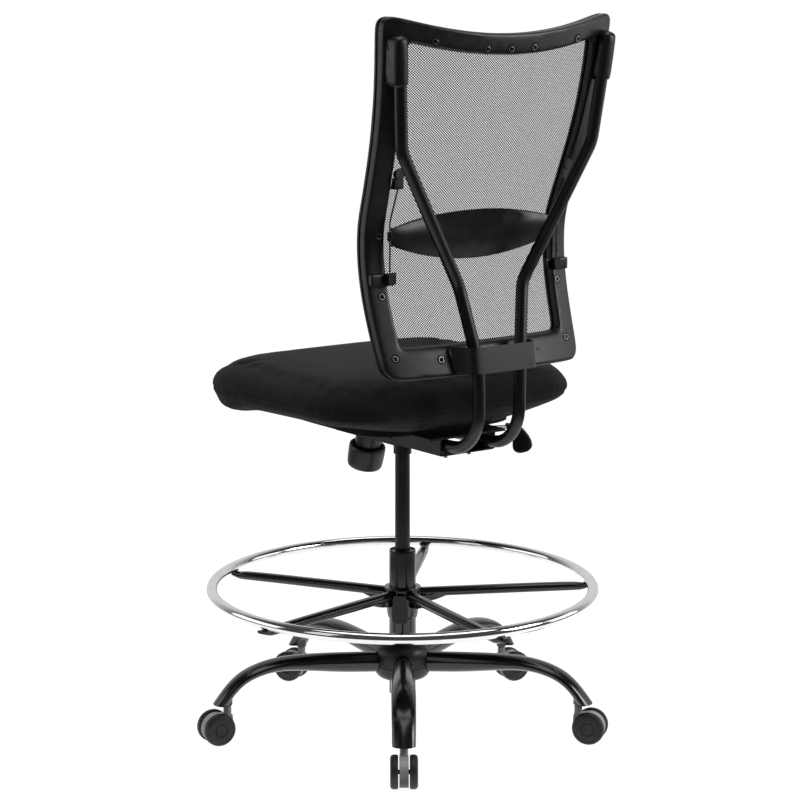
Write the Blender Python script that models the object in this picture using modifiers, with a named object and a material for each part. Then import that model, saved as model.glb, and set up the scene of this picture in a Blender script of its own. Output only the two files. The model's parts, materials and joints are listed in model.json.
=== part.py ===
"""Drafting chair with a mesh back: star base on casters, gas lift, foot ring, tilting seat.

Metres, +Z up. The origin is on the floor, on the gas lift's axis. The chair faces -Y.
"""

import math

import bmesh
import bpy
from mathutils import Matrix, Vector

# Driving dimensions
GAP = 0.0003  # between pieces that touch

WHEEL_RADIUS = 0.030
WHEEL_WIDTH = 0.0145
CASTER_BODY_WIDTH = 0.016
CASTER_BODY_RADIUS = 0.0275
CASTER_TRAIL = 0.0225
CASTER_CIRCLE = 0.3375
CASTER_TURNS = (10, 0, 0, -30, 27)  # degrees each caster has swung away from its leg
STEM_RADIUS = 0.006
SOCKET_RADIUS = 0.0098
SOCKET_BOTTOM = 0.0705
SOCKET_TOP = 0.092

LEG_COUNT = 5
FIRST_LEG = -18  # degrees, so that one leg points straight forward
LEG_HUB_GAP = 0.0368
# (radius, height of the centre line, tube width, tube height, lean of the section in degrees)
LEG_STATIONS = (
    (0.0368, 0.1235, 0.0300, 0.0392, 0),
    (0.0700, 0.1262, 0.0340, 0.0392, 3),
    (0.1100, 0.1292, 0.0390, 0.0385, 4),
    (0.1500, 0.1330, 0.0430, 0.0355, 4),
    (0.1900, 0.1366, 0.0445, 0.0310, 3),
    (0.2250, 0.1383, 0.0450, 0.0262, -1),
    (0.2500, 0.1366, 0.0450, 0.0240, -7),
    (0.2750, 0.1315, 0.0450, 0.0225, -15),
    (0.3000, 0.1225, 0.0445, 0.0215, -26),
    (0.3190, 0.1095, 0.0440, 0.0210, -40),
    (0.3340, 0.0940, 0.0430, 0.0215, -50),
    (0.3560, 0.0640, 0.0420, 0.0225, -52),
)

SLEEVE_RADIUS = 0.025
SLEEVE_WALL = 0.0022
SLEEVE_BOTTOM = 0.062
SLEEVE_TOP = 0.336
SLEEVE_FLOOR = 0.004
HUB_TOP = 0.163
HUB_BOTTOM = 0.092
HUB_RADIUS = 0.0535
HUB_SEAM = 0.1180

LIFT_RADIUS = 0.014
LIFT_BORE = 0.011
LIFT_BOTTOM = 0.206
LIFT_SHOULDER = 0.5195
LIFT_TOP = 0.5475
PISTON_TOP = 0.340
ROD_RADIUS = 0.005

HOOP_RADIUS = 0.353
HOOP_TUBE = 0.010
HOOP_HEIGHT = 0.2655
SPOKE_COUNT = 5
FIRST_SPOKE = 10.5  # degrees
SPOKE_WIDTH = 0.022
SPOKE_HEIGHT = 0.0175
SPOKE_END = 0.364
SPOKE_RISE = 0.0065  # how much higher a spoke meets the collar than the hoop
COLLAR_BOTTOM = 0.2085
LOCK_ANGLE = 46.5  # degrees
LOCK_PIVOT_RADIUS = 0.0345
LOCK_PIVOT_HEIGHT = 0.2472

HOUSING_HALF_WIDTH = 0.055
HOUSING_WALL = 0.0025
HOUSING_BOTTOM = 0.546
TILT_AXIS_Y = -0.055
TILT_AXIS_Z = 0.563
PIN_RADIUS = 0.005
BOSS_BOTTOM = 0.5175
BOSS_RADIUS = 0.0165
KNOB_CENTRE = Vector((0.0, -0.1155, 0.4947))
KNOB_LEAN = 15  # degrees, its foot leans forward
LEVER_PIVOT = Vector((-0.034, 0.0, 0.5595))
LEVER_ROD = 0.0035

PLATE_BOTTOM = 0.580
PLATE_THICK = 0.004
FLANGE_INNER = 0.0585
FLANGE_THICK = 0.003
FLANGE_BOTTOM = 0.551
PAN_THICK = 0.012

SEAT_HALF_WIDTH = 0.280
SEAT_FRONT = -0.305
SEAT_REAR = 0.222
SEAT_TOP = 0.687
SEAT_WIDEST = 0.636
SEAT_UNDERSIDE = 0.5860
FRONT_UNDERSIDE = 0.5970
REAR_UNDERSIDE = 0.5876  # at the middle of the rear edge

BACK_TUBE_RADIUS = 0.0118
BACK_TUBE_Y = 0.2830
LUMBAR_END = 0.1780
LUMBAR_WIRE_X = 0.1835
LUMBAR_WIRE_Y = 0.2125
LUMBAR_WIRE_RADIUS = 0.0015
LUMBAR_SLIDES = (-0.030, -0.020, -0.010, 0.0, 0.006)  # heights the pad has to clear the mesh at
BACK_TUBE_RUN_Z = 0.5677

FRAME_BOTTOM = 0.705
FRAME_DEPTH = 0.028
REAR_RING_DEPTH = 0.016
MESH_THICK = 0.0008
MESH_GAP = 0.0013
FACE_GAP = 0.0007  # between the frame's curved rear face and what is fixed to it
# height: half width of the frame
FRAME_WIDTHS = ((0.70, 0.2115), (0.80, 0.2172), (0.88, 0.2200), (0.96, 0.2220), (1.04, 0.2247),
                (1.12, 0.2300), (1.20, 0.2374), (1.32, 0.2475))
# height: half width of the opening in it
OPENING_WIDTHS = ((0.70, 0.1715), (0.80, 0.1790), (0.88, 0.1822), (0.96, 0.1850), (1.04, 0.1905),
                  (1.12, 0.1960), (1.20, 0.1992), (1.32, 0.2015))
# height: how far back the frame's rear face is at the side rails
REAR_FACE = ((0.69, 0.2555), (0.72, 0.2450), (0.76, 0.2312), (0.80, 0.2180), (0.84, 0.2068),
             (0.88, 0.1990), (0.92, 0.1962), (0.96, 0.1994), (1.04, 0.2268), (1.12, 0.2550),
             (1.20, 0.2768), (1.29, 0.2921), (1.34, 0.2985))
# height: how strongly the frame wraps round the sitter, in metres per metre squared
WRAP = ((0.69, 0.50), (0.80, 0.42), (0.92, 0.37), (1.04, 0.58), (1.13, 0.68), (1.22, 0.66),
        (1.34, 0.60))
RAIL_X = 0.20  # where REAR_FACE is measured

# Finish: base colour, metallic, roughness
FINISHES = {
    "gloss_black_paint": ((0.012, 0.012, 0.013), 0.0, 0.18),
    "satin_black_paint": ((0.018, 0.018, 0.019), 0.0, 0.38),
    "chrome": ((0.80, 0.81, 0.83), 1.0, 0.08),
    "steel": ((0.52, 0.52, 0.53), 1.0, 0.32),
    "black_plastic": ((0.022, 0.022, 0.023), 0.0, 0.48),
    "grey_plastic": ((0.48, 0.49, 0.50), 0.0, 0.40),
    "wheel_plastic": ((0.030, 0.031, 0.033), 0.0, 0.55),
    "seat_fabric": ((0.010, 0.010, 0.011), 0.0, 0.95),
    "mesh_fabric": ((0.014, 0.014, 0.015), 0.0, 0.90),
    "plywood": ((0.42, 0.30, 0.18), 0.0, 0.70),
}


# Shape helpers

def new_collection(name):
    collection = bpy.data.collections.new(name)
    bpy.context.scene.collection.children.link(collection)
    return collection


def make_finish(name):
    material = bpy.data.materials.get(name)
    if material:
        return material
    colour, metallic, roughness = FINISHES[name]
    material = bpy.data.materials.new(name)
    material.use_nodes = True
    shader = material.node_tree.nodes["Principled BSDF"]
    shader.inputs["Base Color"].default_value = (*colour, 1.0)
    shader.inputs["Metallic"].default_value = metallic
    shader.inputs["Roughness"].default_value = roughness
    material.diffuse_color = (*colour, 1.0)
    return material


def add(name, data, finish=None):
    """Puts data in the scene: a part of the chair if it has a finish, else a cutter."""
    part = bpy.data.objects.new(name, data)
    if finish:
        data.materials.clear()
        data.materials.append(make_finish(finish))
        CHAIR.objects.link(part)
    else:
        CUTTERS.objects.link(part)
        part.hide_render = True
        part.display_type = "WIRE"
    return part


def mesh_from(bm, name, smooth=35):
    bmesh.ops.recalc_face_normals(bm, faces=bm.faces)
    mesh = bpy.data.meshes.new(name)
    bm.to_mesh(mesh)
    bm.free()
    mesh.shade_smooth()
    mesh.set_sharp_from_angle(angle=math.radians(smooth))
    return mesh


def bevel(part, width, segments=2):
    modifier = part.modifiers.new("round_edges", "BEVEL")
    modifier.width = width
    modifier.segments = segments
    modifier.limit_method = "ANGLE"
    return part


def combine(part, operation, *others):
    for other in others:
        modifier = part.modifiers.new(f"{operation.lower()}_{other.name}", "BOOLEAN")
        modifier.operation = operation
        modifier.object = other
    return part


def cut(part, *cutters):
    return combine(part, "DIFFERENCE", *cutters)


def join(part, *others):
    return combine(part, "UNION", *others)


def evaluated_mesh(part):
    """The part's own mesh with its modifiers worked in."""
    bpy.context.view_layer.update()
    graph = bpy.context.evaluated_depsgraph_get()
    mesh = bpy.data.meshes.new_from_object(part.evaluated_get(graph))
    mesh.name = part.name
    return mesh


def box(name, low, high, finish=None):
    bm = bmesh.new()
    bmesh.ops.create_cube(bm, size=1)
    size = Vector(high) - Vector(low)
    middle = (Vector(high) + Vector(low)) / 2
    bmesh.ops.scale(bm, vec=size, verts=bm.verts)
    bmesh.ops.translate(bm, vec=middle, verts=bm.verts)
    return add(name, mesh_from(bm, name), finish)


def rod(name, start, end, radius, finish=None, sides=16, end_radius=None):
    start, end = Vector(start), Vector(end)
    bm = bmesh.new()
    bmesh.ops.create_cone(bm, cap_ends=True, segments=sides, radius1=radius,
                          radius2=end_radius or radius, depth=(end - start).length)
    part = add(name, mesh_from(bm, name), finish)
    part.location = (start + end) / 2
    part.rotation_euler = (end - start).to_track_quat("Z", "Y").to_euler()
    return part


def turned(name, profile, finish=None, steps=32, ring=False):
    """A profile of (radius, height) turned about Z. A ring's profile is a closed outline."""
    count = len(profile)
    edges = [(i, i + 1) for i in range(count - 1)]
    if ring:
        edges.append((count - 1, 0))
    mesh = bpy.data.meshes.new(name)
    mesh.from_pydata([(radius, 0, height) for radius, height in profile], edges, [])
    part = add(name, mesh, finish)
    screw = part.modifiers.new("turn", "SCREW")
    screw.axis = "Z"
    screw.steps = screw.render_steps = steps
    screw.use_merge_vertices = True
    screw.merge_threshold = 0.00001
    screw.use_smooth_shade = True
    return part


def loft(name, rings, finish=None, closed=False):
    """Skins rings of equal point count. An open loft gets a flat cap at each end."""
    bm = bmesh.new()
    rows = [[bm.verts.new(point) for point in ring] for ring in rings]
    pairs = list(zip(rows, rows[1:]))
    if closed:
        pairs.append((rows[-1], rows[0]))
    for low, high in pairs:
        for i in range(len(low)):
            j = (i + 1) % len(low)
            bm.faces.new((low[i], low[j], high[j], high[i]))
    if not closed:
        bm.faces.new(rows[0][::-1])
        bm.faces.new(rows[-1])
    return add(name, mesh_from(bm, name), finish)


def sheet_block(name, columns, rows, near, far, finish=None):
    """A closed solid between two surfaces. near and far turn (s, t) in -1..1 into points."""
    bm = bmesh.new()
    grids = []
    for surface in (near, far):
        grids.append([[bm.verts.new(surface(-1 + 2 * i / columns, -1 + 2 * j / rows))
                       for i in range(columns + 1)] for j in range(rows + 1)])
    front, back = grids
    for j in range(rows):
        for i in range(columns):
            for grid in grids:
                bm.faces.new((grid[j][i], grid[j][i + 1], grid[j + 1][i + 1], grid[j + 1][i]))
    for j in range(rows):
        for i in (0, columns):
            bm.faces.new((front[j][i], front[j + 1][i], back[j + 1][i], back[j][i]))
    for i in range(columns):
        for j in (0, rows):
            bm.faces.new((front[j][i], front[j][i + 1], back[j][i + 1], back[j][i]))
    return add(name, mesh_from(bm, name), finish)


def outline_plate(name, outline, thickness, finish=None):
    """A flat outline in the XY plane, centred on Z = 0."""
    curve = bpy.data.curves.new(name, "CURVE")
    curve.dimensions = "2D"
    curve.fill_mode = "BOTH"
    curve.extrude = thickness / 2
    spline = curve.splines.new("POLY")
    spline.points.add(len(outline) - 1)
    for point, (x, y) in zip(spline.points, outline):
        point.co = (x, y, 0, 1)
    spline.use_cyclic_u = True
    return solid_of_curve(name, curve, finish)


def tube(name, points, radius, finish=None, resolution=3):
    curve = bpy.data.curves.new(name, "CURVE")
    curve.dimensions = "3D"
    curve.bevel_depth = radius
    curve.bevel_resolution = resolution
    curve.use_fill_caps = True
    spline = curve.splines.new("POLY")
    spline.points.add(len(points) - 1)
    for point, place in zip(spline.points, points):
        point.co = (*place, 1)
    return solid_of_curve(name, curve, finish)


def solid_of_curve(name, curve, finish):
    """The curve as a welded mesh, so that it can be cut and joined."""
    guide = add(name + "_guide", curve)
    mesh = evaluated_mesh(guide)
    bpy.data.objects.remove(guide)
    bm = bmesh.new()
    bm.from_mesh(mesh)
    bmesh.ops.remove_doubles(bm, verts=bm.verts, dist=0.00001)
    bpy.data.meshes.remove(mesh)
    return add(name, mesh_from(bm, name), finish)


def place_mesh(part, matrix):
    part.data.transform(matrix)
    return part


def rounded_path(corners, radius, steps=5):
    """The corner points with each inner corner replaced by an arc."""
    corners = [Vector(corner) for corner in corners]
    path = [corners[0]]
    for before, corner, after in zip(corners, corners[1:], corners[2:]):
        inward, outward = (before - corner).normalized(), (after - corner).normalized()
        half_angle = inward.angle(outward) / 2
        reach = radius / math.tan(half_angle)
        centre = corner + (inward + outward).normalized() * radius / math.sin(half_angle)
        start, end = corner + inward * reach - centre, corner + outward * reach - centre
        for step in range(steps + 1):
            path.append(centre + start.slerp(end, step / steps).normalized() * radius)
    return path + [corners[-1]]


def through(knots, at):
    """A smooth curve through (position, value) knots, with the ends held flat beyond them."""
    if at <= knots[0][0]:
        return knots[0][1]
    if at >= knots[-1][0]:
        return knots[-1][1]
    last = len(knots) - 1
    i = max(k for k in range(last) if knots[k][0] <= at)

    def slope(k):
        before, after = knots[max(k - 1, 0)], knots[min(k + 1, last)]
        return (after[1] - before[1]) / (after[0] - before[0])

    (x0, y0), (x1, y1) = knots[i], knots[i + 1]
    span = x1 - x0
    u = (at - x0) / span
    return ((1 + 2 * u) * (1 - u) ** 2 * y0 + u * (1 - u) ** 2 * span * slope(i)
            + u * u * (3 - 2 * u) * y1 + u * u * (u - 1) * span * slope(i + 1))


def around(angle, radius=1.0, height=0.0):
    turn = math.radians(angle)
    return Vector((radius * math.cos(turn), radius * math.sin(turn), height))


def empty(name, location, angle=0, parent=None):
    guide = bpy.data.objects.new(name, None)
    guide.empty_display_size = 0.03
    guide.location = location
    guide.rotation_euler.z = math.radians(angle)
    guide.parent = parent
    CHAIR.objects.link(guide)
    return guide


# Base

def leg_ring(station, grow=0.0, sides=16):
    radius, height, width, depth, lean = station
    tilt = math.radians(lean)
    ring = []
    for k in range(sides):
        turn = 2 * math.pi * k / sides
        across = (width / 2 + grow) * math.cos(turn)
        up = (depth / 2 + grow) * math.sin(turn)
        ring.append((radius - up * math.sin(tilt), across, height + up * math.cos(tilt)))
    return ring


def make_legs():
    """Arched oval tubes, each with a caster socket under its tip."""
    body = loft("leg_shape", [leg_ring(station) for station in LEG_STATIONS])
    socket = rod("leg_socket", (CASTER_CIRCLE, 0, SOCKET_BOTTOM), (CASTER_CIRCLE, 0, SOCKET_TOP),
                 SOCKET_RADIUS, sides=20)
    bore = rod("leg_bore", (CASTER_CIRCLE, 0, SOCKET_BOTTOM - 0.02),
               (CASTER_CIRCLE, 0, SOCKET_TOP - 0.002), STEM_RADIUS + GAP)
    floor = box("leg_trim", (0.30, -0.05, 0.0), (0.42, 0.05, SOCKET_BOTTOM + 0.0020))
    shape = evaluated_mesh(cut(join(cut(body, floor), socket), bore))
    for k in range(LEG_COUNT):
        leg = add(f"base_leg_{k + 1}", shape.copy(), "gloss_black_paint")
        leg.rotation_euler.z = math.radians(FIRST_LEG + k * 360 / LEG_COUNT)


def leg_notches():
    """Slightly fatter stubs of the legs, which clear them out of the hub's covers."""
    notches = []
    for k in range(LEG_COUNT):
        rings = [leg_ring(station, grow=0.0006) for station in LEG_STATIONS[:3]]
        rings[0] = [(x - 0.006, y, z) for x, y, z in rings[0]]
        notch = loft(f"leg_notch_{k + 1}", rings)
        notch.rotation_euler.z = math.radians(FIRST_LEG + k * 360 / LEG_COUNT)
        notches.append(notch)
    return notches


def make_hub():
    turned("hub_core", [(SLEEVE_RADIUS + GAP, 0.1445), (LEG_HUB_GAP - GAP, 0.1445),
                        (LEG_HUB_GAP - GAP, 0.0985), (SLEEVE_RADIUS + GAP, 0.0985)],
           "gloss_black_paint", ring=True)
    inner = SLEEVE_RADIUS + 2 * GAP
    cover = turned("hub_cover", [
        (inner, HUB_TOP), (0.0330, HUB_TOP - 0.0008), (0.0425, HUB_TOP - 0.0055),
        (0.0500, HUB_TOP - 0.0140), (HUB_RADIUS - 0.0005, HUB_TOP - 0.0245),
        (HUB_RADIUS, HUB_SEAM), (HUB_RADIUS - 0.003, HUB_SEAM),
        (HUB_RADIUS - 0.0035, HUB_TOP - 0.0250), (0.0470, HUB_TOP - 0.0160),
        (0.0400, HUB_TOP - 0.0080), (inner, HUB_TOP - 0.0050)], "black_plastic", steps=30, ring=True)
    housing = turned("hub_housing", [
        (HUB_RADIUS - 0.003, HUB_SEAM - 0.0010), (HUB_RADIUS, HUB_SEAM - 0.0010),
        (HUB_RADIUS - 0.0010, 0.1060), (0.0480, 0.0965), (0.0400, HUB_BOTTOM),
        (inner, HUB_BOTTOM), (inner, HUB_BOTTOM + 0.003), (0.0385, HUB_BOTTOM + 0.0030),
        (0.0450, 0.0985), (HUB_RADIUS - 0.0040, 0.1075)], "black_plastic", steps=30, ring=True)
    notches = leg_notches()
    cut(cover, *notches)
    cut(housing, *notches)


def make_column():
    inner = SLEEVE_RADIUS - SLEEVE_WALL
    turned("column_sleeve", [
        (inner, SLEEVE_TOP), (SLEEVE_RADIUS - 0.0006, SLEEVE_TOP),
        (SLEEVE_RADIUS, SLEEVE_TOP - 0.0008), (SLEEVE_RADIUS, SLEEVE_BOTTOM),
        (ROD_RADIUS + GAP, SLEEVE_BOTTOM), (ROD_RADIUS + GAP, SLEEVE_BOTTOM + SLEEVE_FLOOR),
        (inner, SLEEVE_BOTTOM + SLEEVE_FLOOR)], "gloss_black_paint", ring=True)
    turned("column_bush", [
        (LIFT_RADIUS + 2 * GAP, SLEEVE_TOP - 0.0010), (inner - GAP, SLEEVE_TOP - 0.0025),
        (inner - GAP, 0.250), (LIFT_RADIUS + 2 * GAP, 0.250)], "black_plastic", ring=True,
        steps=24)
    bearing_bottom = SLEEVE_BOTTOM + SLEEVE_FLOOR + GAP
    turned("thrust_bearing", [
        (ROD_RADIUS + GAP, bearing_bottom + 0.006), (0.012, bearing_bottom + 0.006),
        (0.012, bearing_bottom), (ROD_RADIUS + GAP, bearing_bottom)], "steel", ring=True,
        steps=20)
    turned("piston_rod", [
        (0, PISTON_TOP), (LIFT_BORE - 0.0005, PISTON_TOP), (LIFT_BORE - 0.0005, PISTON_TOP - 0.014),
        (ROD_RADIUS, PISTON_TOP - 0.016), (ROD_RADIUS, SLEEVE_BOTTOM - 0.004),
        (0, SLEEVE_BOTTOM - 0.004)], "steel", steps=20)
    turned("rod_clip", [
        (ROD_RADIUS + GAP, SLEEVE_BOTTOM - GAP), (0.0105, SLEEVE_BOTTOM - GAP),
        (0.0105, SLEEVE_BOTTOM - 0.0018), (ROD_RADIUS + GAP, SLEEVE_BOTTOM - 0.0018)],
        "steel", ring=True, steps=20)


# Casters

def caster_body_shape():
    """A web between the wheels: a round fender and the arm that holds the stem."""
    centre_x, centre_z = CASTER_TRAIL, WHEEL_RADIUS
    outline = []
    for k in range(21):
        turn = math.radians(112 - k * 250 / 20)
        outline.append((centre_x + CASTER_BODY_RADIUS * math.cos(turn),
                        centre_z + CASTER_BODY_RADIUS * math.sin(turn)))
    outline += [(-0.0068, 0.028), (-0.0082, 0.040), (-0.0072, 0.0525), (0.0072, 0.0545)]
    web = outline_plate("caster_web", outline, CASTER_BODY_WIDTH)
    place_mesh(web, Matrix.Rotation(math.radians(90), 4, "X"))
    bevel(web, 0.0012, 1)
    axle_bore = rod("caster_bore", (CASTER_TRAIL, -0.03, WHEEL_RADIUS),
                    (CASTER_TRAIL, 0.03, WHEEL_RADIUS), 0.0045, sides=12)
    stem = turned("caster_stem", [
        (0, SOCKET_TOP - 0.006), (STEM_RADIUS - 0.001, SOCKET_TOP - 0.006),
        (STEM_RADIUS, SOCKET_TOP - 0.008), (STEM_RADIUS, 0.0685), (0.0074, 0.0675),
        (0.0074, 0.0500), (0, 0.0500)], steps=16)
    return evaluated_mesh(join(cut(web, axle_bore), stem))


def caster_wheels_shape():
    inner = CASTER_BODY_WIDTH / 2 + 0.0019
    outer = inner + WHEEL_WIDTH
    right = [(0, outer), (0.0215, outer), (0.0275, outer - 0.0012), (WHEEL_RADIUS, outer - 0.0040),
             (WHEEL_RADIUS, inner + 0.0012), (WHEEL_RADIUS - 0.0012, inner), (0.004, inner)]
    left = [(radius, -height) for radius, height in reversed(right)]
    return evaluated_mesh(turned("wheel_pair", right + left, steps=20))


def make_casters():
    body_shape = caster_body_shape()
    wheels_shape = caster_wheels_shape()
    wheels_shape.transform(Matrix.Rotation(math.radians(90), 4, "X"))
    for k in range(LEG_COUNT):
        leg_angle = FIRST_LEG + k * 360 / LEG_COUNT
        swivel = empty(f"caster_swivel_{k + 1}", around(leg_angle, CASTER_CIRCLE),
                       leg_angle + CASTER_TURNS[k])
        body = add(f"caster_body_{k + 1}", body_shape.copy(), "grey_plastic")
        wheels = add(f"caster_wheels_{k + 1}", wheels_shape.copy(), "wheel_plastic")
        body.parent = wheels.parent = swivel
        wheels.location = (CASTER_TRAIL, 0, WHEEL_RADIUS)


# Foot ring

def make_foot_ring():
    bpy.ops.mesh.primitive_torus_add(major_radius=HOOP_RADIUS, minor_radius=HOOP_TUBE,
                                     major_segments=64, minor_segments=12,
                                     location=(0, 0, HOOP_HEIGHT))
    hoop = bpy.context.object
    hoop.name = "foot_ring_hoop"
    hoop.data.materials.append(make_finish("chrome"))
    hoop.data.shade_smooth()
    for collection in list(hoop.users_collection):
        collection.objects.unlink(hoop)
    CHAIR.objects.link(hoop)

    inner = SLEEVE_RADIUS + 0.0005
    collar = turned("foot_ring_collar", [
        (inner, HOOP_HEIGHT), (0.0340, HOOP_HEIGHT), (0.0347, HOOP_HEIGHT - 0.0010),
        (0.0347, HOOP_HEIGHT - 0.0034), (0.0310, HOOP_HEIGHT - 0.0034),
        (0.0310, 0.2260), (0.0275, COLLAR_BOTTOM), (inner, COLLAR_BOTTOM)],
        "gloss_black_paint", ring=True)
    lug = box("lock_lug", (0.0285, -0.0040, 0.2425), (0.0370, 0.0040, 0.2520))
    lug.rotation_euler.z = math.radians(LOCK_ANGLE)
    pin_hole = rod("lock_pin_hole", *lock_pin_ends(0.025), 0.0022, sides=12)
    cut(join(collar, lug), pin_hole)
    rod("ring_lock_pin", *lock_pin_ends(0.0085), 0.0019, "steel", sides=12)
    make_lock_lever()

    top = HOOP_HEIGHT - HOOP_TUBE - GAP
    start = 0.0310 + GAP
    half = SPOKE_WIDTH / 2
    root, reach = top + SPOKE_RISE, top + 0.0030
    bar = loft("spoke_bar", [
        spoke_section(start, half, root - SPOKE_HEIGHT, root),
        spoke_section(0.200, half, (root + reach) / 2 - SPOKE_HEIGHT, (root + reach) / 2),
        spoke_section(0.331, half * 0.95, reach - SPOKE_HEIGHT, reach),
        spoke_section(0.341, half * 0.90, top - SPOKE_HEIGHT * 0.80, top),
        spoke_section(0.352, half * 0.86, top - SPOKE_HEIGHT * 0.62, top),
        spoke_section(SPOKE_END, half * 0.70, top - SPOKE_HEIGHT * 0.34, top)])
    foot = root - SPOKE_HEIGHT
    gusset = outline_plate("spoke_gusset", [
        (start, root - 0.004), (0.082, root - 0.004), (0.082, foot - 0.001),
        (0.060, foot - 0.009), (start, foot - 0.013)], 0.0035)
    place_mesh(gusset, Matrix.Rotation(math.radians(90), 4, "X"))
    shape = evaluated_mesh(join(bar, gusset))
    for k in range(SPOKE_COUNT):
        spoke = add(f"foot_ring_spoke_{k + 1}", shape.copy(), "gloss_black_paint")
        spoke.rotation_euler.z = math.radians(FIRST_SPOKE + k * 360 / SPOKE_COUNT)


def spoke_section(radius, half, low, high):
    """A rounded oblong, drawn as eight points."""
    chamfer = 0.28 * (high - low)
    return [(radius, half - chamfer, low), (radius, half, low + chamfer),
            (radius, half, high - chamfer), (radius, half - chamfer, high),
            (radius, chamfer - half, high), (radius, -half, high - chamfer),
            (radius, -half, low + chamfer), (radius, chamfer - half, low)]


def lock_pin_ends(reach):
    outward, across = around(LOCK_ANGLE), around(LOCK_ANGLE + 90)
    centre = outward * LOCK_PIVOT_RADIUS + Vector((0, 0, LOCK_PIVOT_HEIGHT))
    return centre - across * reach, centre + across * reach


def make_lock_lever():
    """The lever under the collar's flange, which is squeezed in to free the ring."""
    outline = [(0.2560, 0.0110), (0.2535, 0.0125), (0.2365, 0.0125), (0.2335, 0.0150),
               (0.2070, 0.0150), (0.2040, 0.0120)]
    outline += [(z, -y) for z, y in reversed(outline)]
    lever = outline_plate("ring_lock_lever", outline, 0.0025, "satin_black_paint")
    place_mesh(lever, Matrix(((0, 0, 1, 0.03875), (0, 1, 0, 0), (1, 0, 0, 0), (0, 0, 0, 1))))
    cheeks = [box(f"lock_cheek_{side}", (0.0318, side * 0.0057 - 0.0013, 0.2415),
                  (0.0385, side * 0.0057 + 0.0013, 0.2530)) for side in (-1, 1)]
    dimple = rod("lock_dimple", (0.0392, 0, 0.2120), (0.0420, 0, 0.2120), 0.0050, sides=14)
    hole = rod("lock_lever_hole", (LOCK_PIVOT_RADIUS, -0.02, LOCK_PIVOT_HEIGHT),
               (LOCK_PIVOT_RADIUS, 0.02, LOCK_PIVOT_HEIGHT), 0.0022, sides=12)
    shape = evaluated_mesh(cut(join(lever, *cheeks), hole, dimple))
    bpy.data.objects.remove(lever)
    lever = add("ring_lock_lever", shape, "satin_black_paint")
    shape.transform(Matrix.Translation((-LOCK_PIVOT_RADIUS, 0, -LOCK_PIVOT_HEIGHT)))
    lever.location = lock_pin_ends(0)[0]
    lever.rotation_euler.z = math.radians(LOCK_ANGLE)


# Gas lift and tilt mechanism

def make_gas_cylinder():
    turned("gas_cylinder", [
        (0, 0.5355), (0.0040, 0.5355), (0.0040, LIFT_TOP), (0.0125, LIFT_TOP),
        (0.0133, LIFT_SHOULDER + 0.002), (LIFT_RADIUS, LIFT_SHOULDER), (LIFT_RADIUS, LIFT_BOTTOM),
        (LIFT_BORE, LIFT_BOTTOM), (LIFT_BORE, 0.480), (0, 0.480)], "satin_black_paint", steps=28)
    turned("valve_button", [(0, 0.5555), (0.0030, 0.5555), (0.0036, 0.5548), (0.0036, 0.5400),
                            (0, 0.5400)], "steel", steps=14)


def knob_frame():
    """Turns the knob's own axis, +Z up, into its place on the chair."""
    return Matrix.Translation(KNOB_CENTRE) @ Matrix.Rotation(math.radians(-KNOB_LEAN), 4, "X")


def make_tilt_housing():
    half, low = HOUSING_HALF_WIDTH, HOUSING_BOTTOM
    side = [(-0.135, low), (0.060, low), (0.060, 0.5530), (TILT_AXIS_Y, 0.5765),
            (-0.120, 0.5765), (-0.135, 0.5700)]
    upright = Matrix(((0, 0, 1, 0), (1, 0, 0, 0), (0, 1, 0, 0), (0, 0, 0, 1)))
    housing = place_mesh(outline_plate("tilt_housing", side, 2 * half, "satin_black_paint"),
                         upright)
    wall = HOUSING_WALL
    hollow = box("housing_hollow", (wall - half, wall - 0.135, low + 0.003),
                 (half - wall, 0.080, 0.60))
    boss = rod("housing_boss", (0, 0, BOSS_BOTTOM), (0, 0, low + 0.002), BOSS_RADIUS, sides=28)
    boss_bore = rod("housing_bore", (0, 0, 0.50), (0, 0, 0.60), LIFT_RADIUS + GAP, sides=28)
    pin_bore = rod("housing_pin_bore", (-0.08, TILT_AXIS_Y, TILT_AXIS_Z),
                   (0.08, TILT_AXIS_Y, TILT_AXIS_Z), PIN_RADIUS + GAP)
    lever_slot = box("housing_lever_slot", (-0.070, -0.006, 0.5520), (-0.050, 0.014, 0.60))
    cup = rod("spring_cup", (0, 0, 0.0145), (0, 0, 0.0560), 0.0250, sides=28)
    cup_trim = box("spring_cup_trim", (-0.04, -0.16, low + 0.0015), (0.04, -0.05, 0.60))
    cup_bore = rod("spring_cup_bore", (0, 0, 0.0), (0, 0, 0.0475), 0.0200, sides=24)
    bolt_bore = rod("tension_bolt_bore", (0, 0, 0.0), (0, 0, 0.09), 0.0046, sides=12)
    for piece in (cup, cup_bore, bolt_bore):
        piece.matrix_world = knob_frame() @ piece.matrix_basis
    cut(cup, cup_trim)
    ears = [box(f"lever_ear_{side}", (-0.0400, side * 0.0085 - 0.0018, low + 0.001),
                (-0.0280, side * 0.0085 + 0.0018, 0.5640)) for side in (-1, 1)]
    lever_bore = rod("lever_pin_bore", LEVER_PIVOT - Vector((0, 0.02, 0)),
                     LEVER_PIVOT + Vector((0, 0.02, 0)), 0.0025, sides=12)
    cut(housing, hollow)
    join(housing, boss, cup, *ears)
    cut(housing, boss_bore, pin_bore, lever_slot, cup_bore, bolt_bore, lever_bore)


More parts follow.
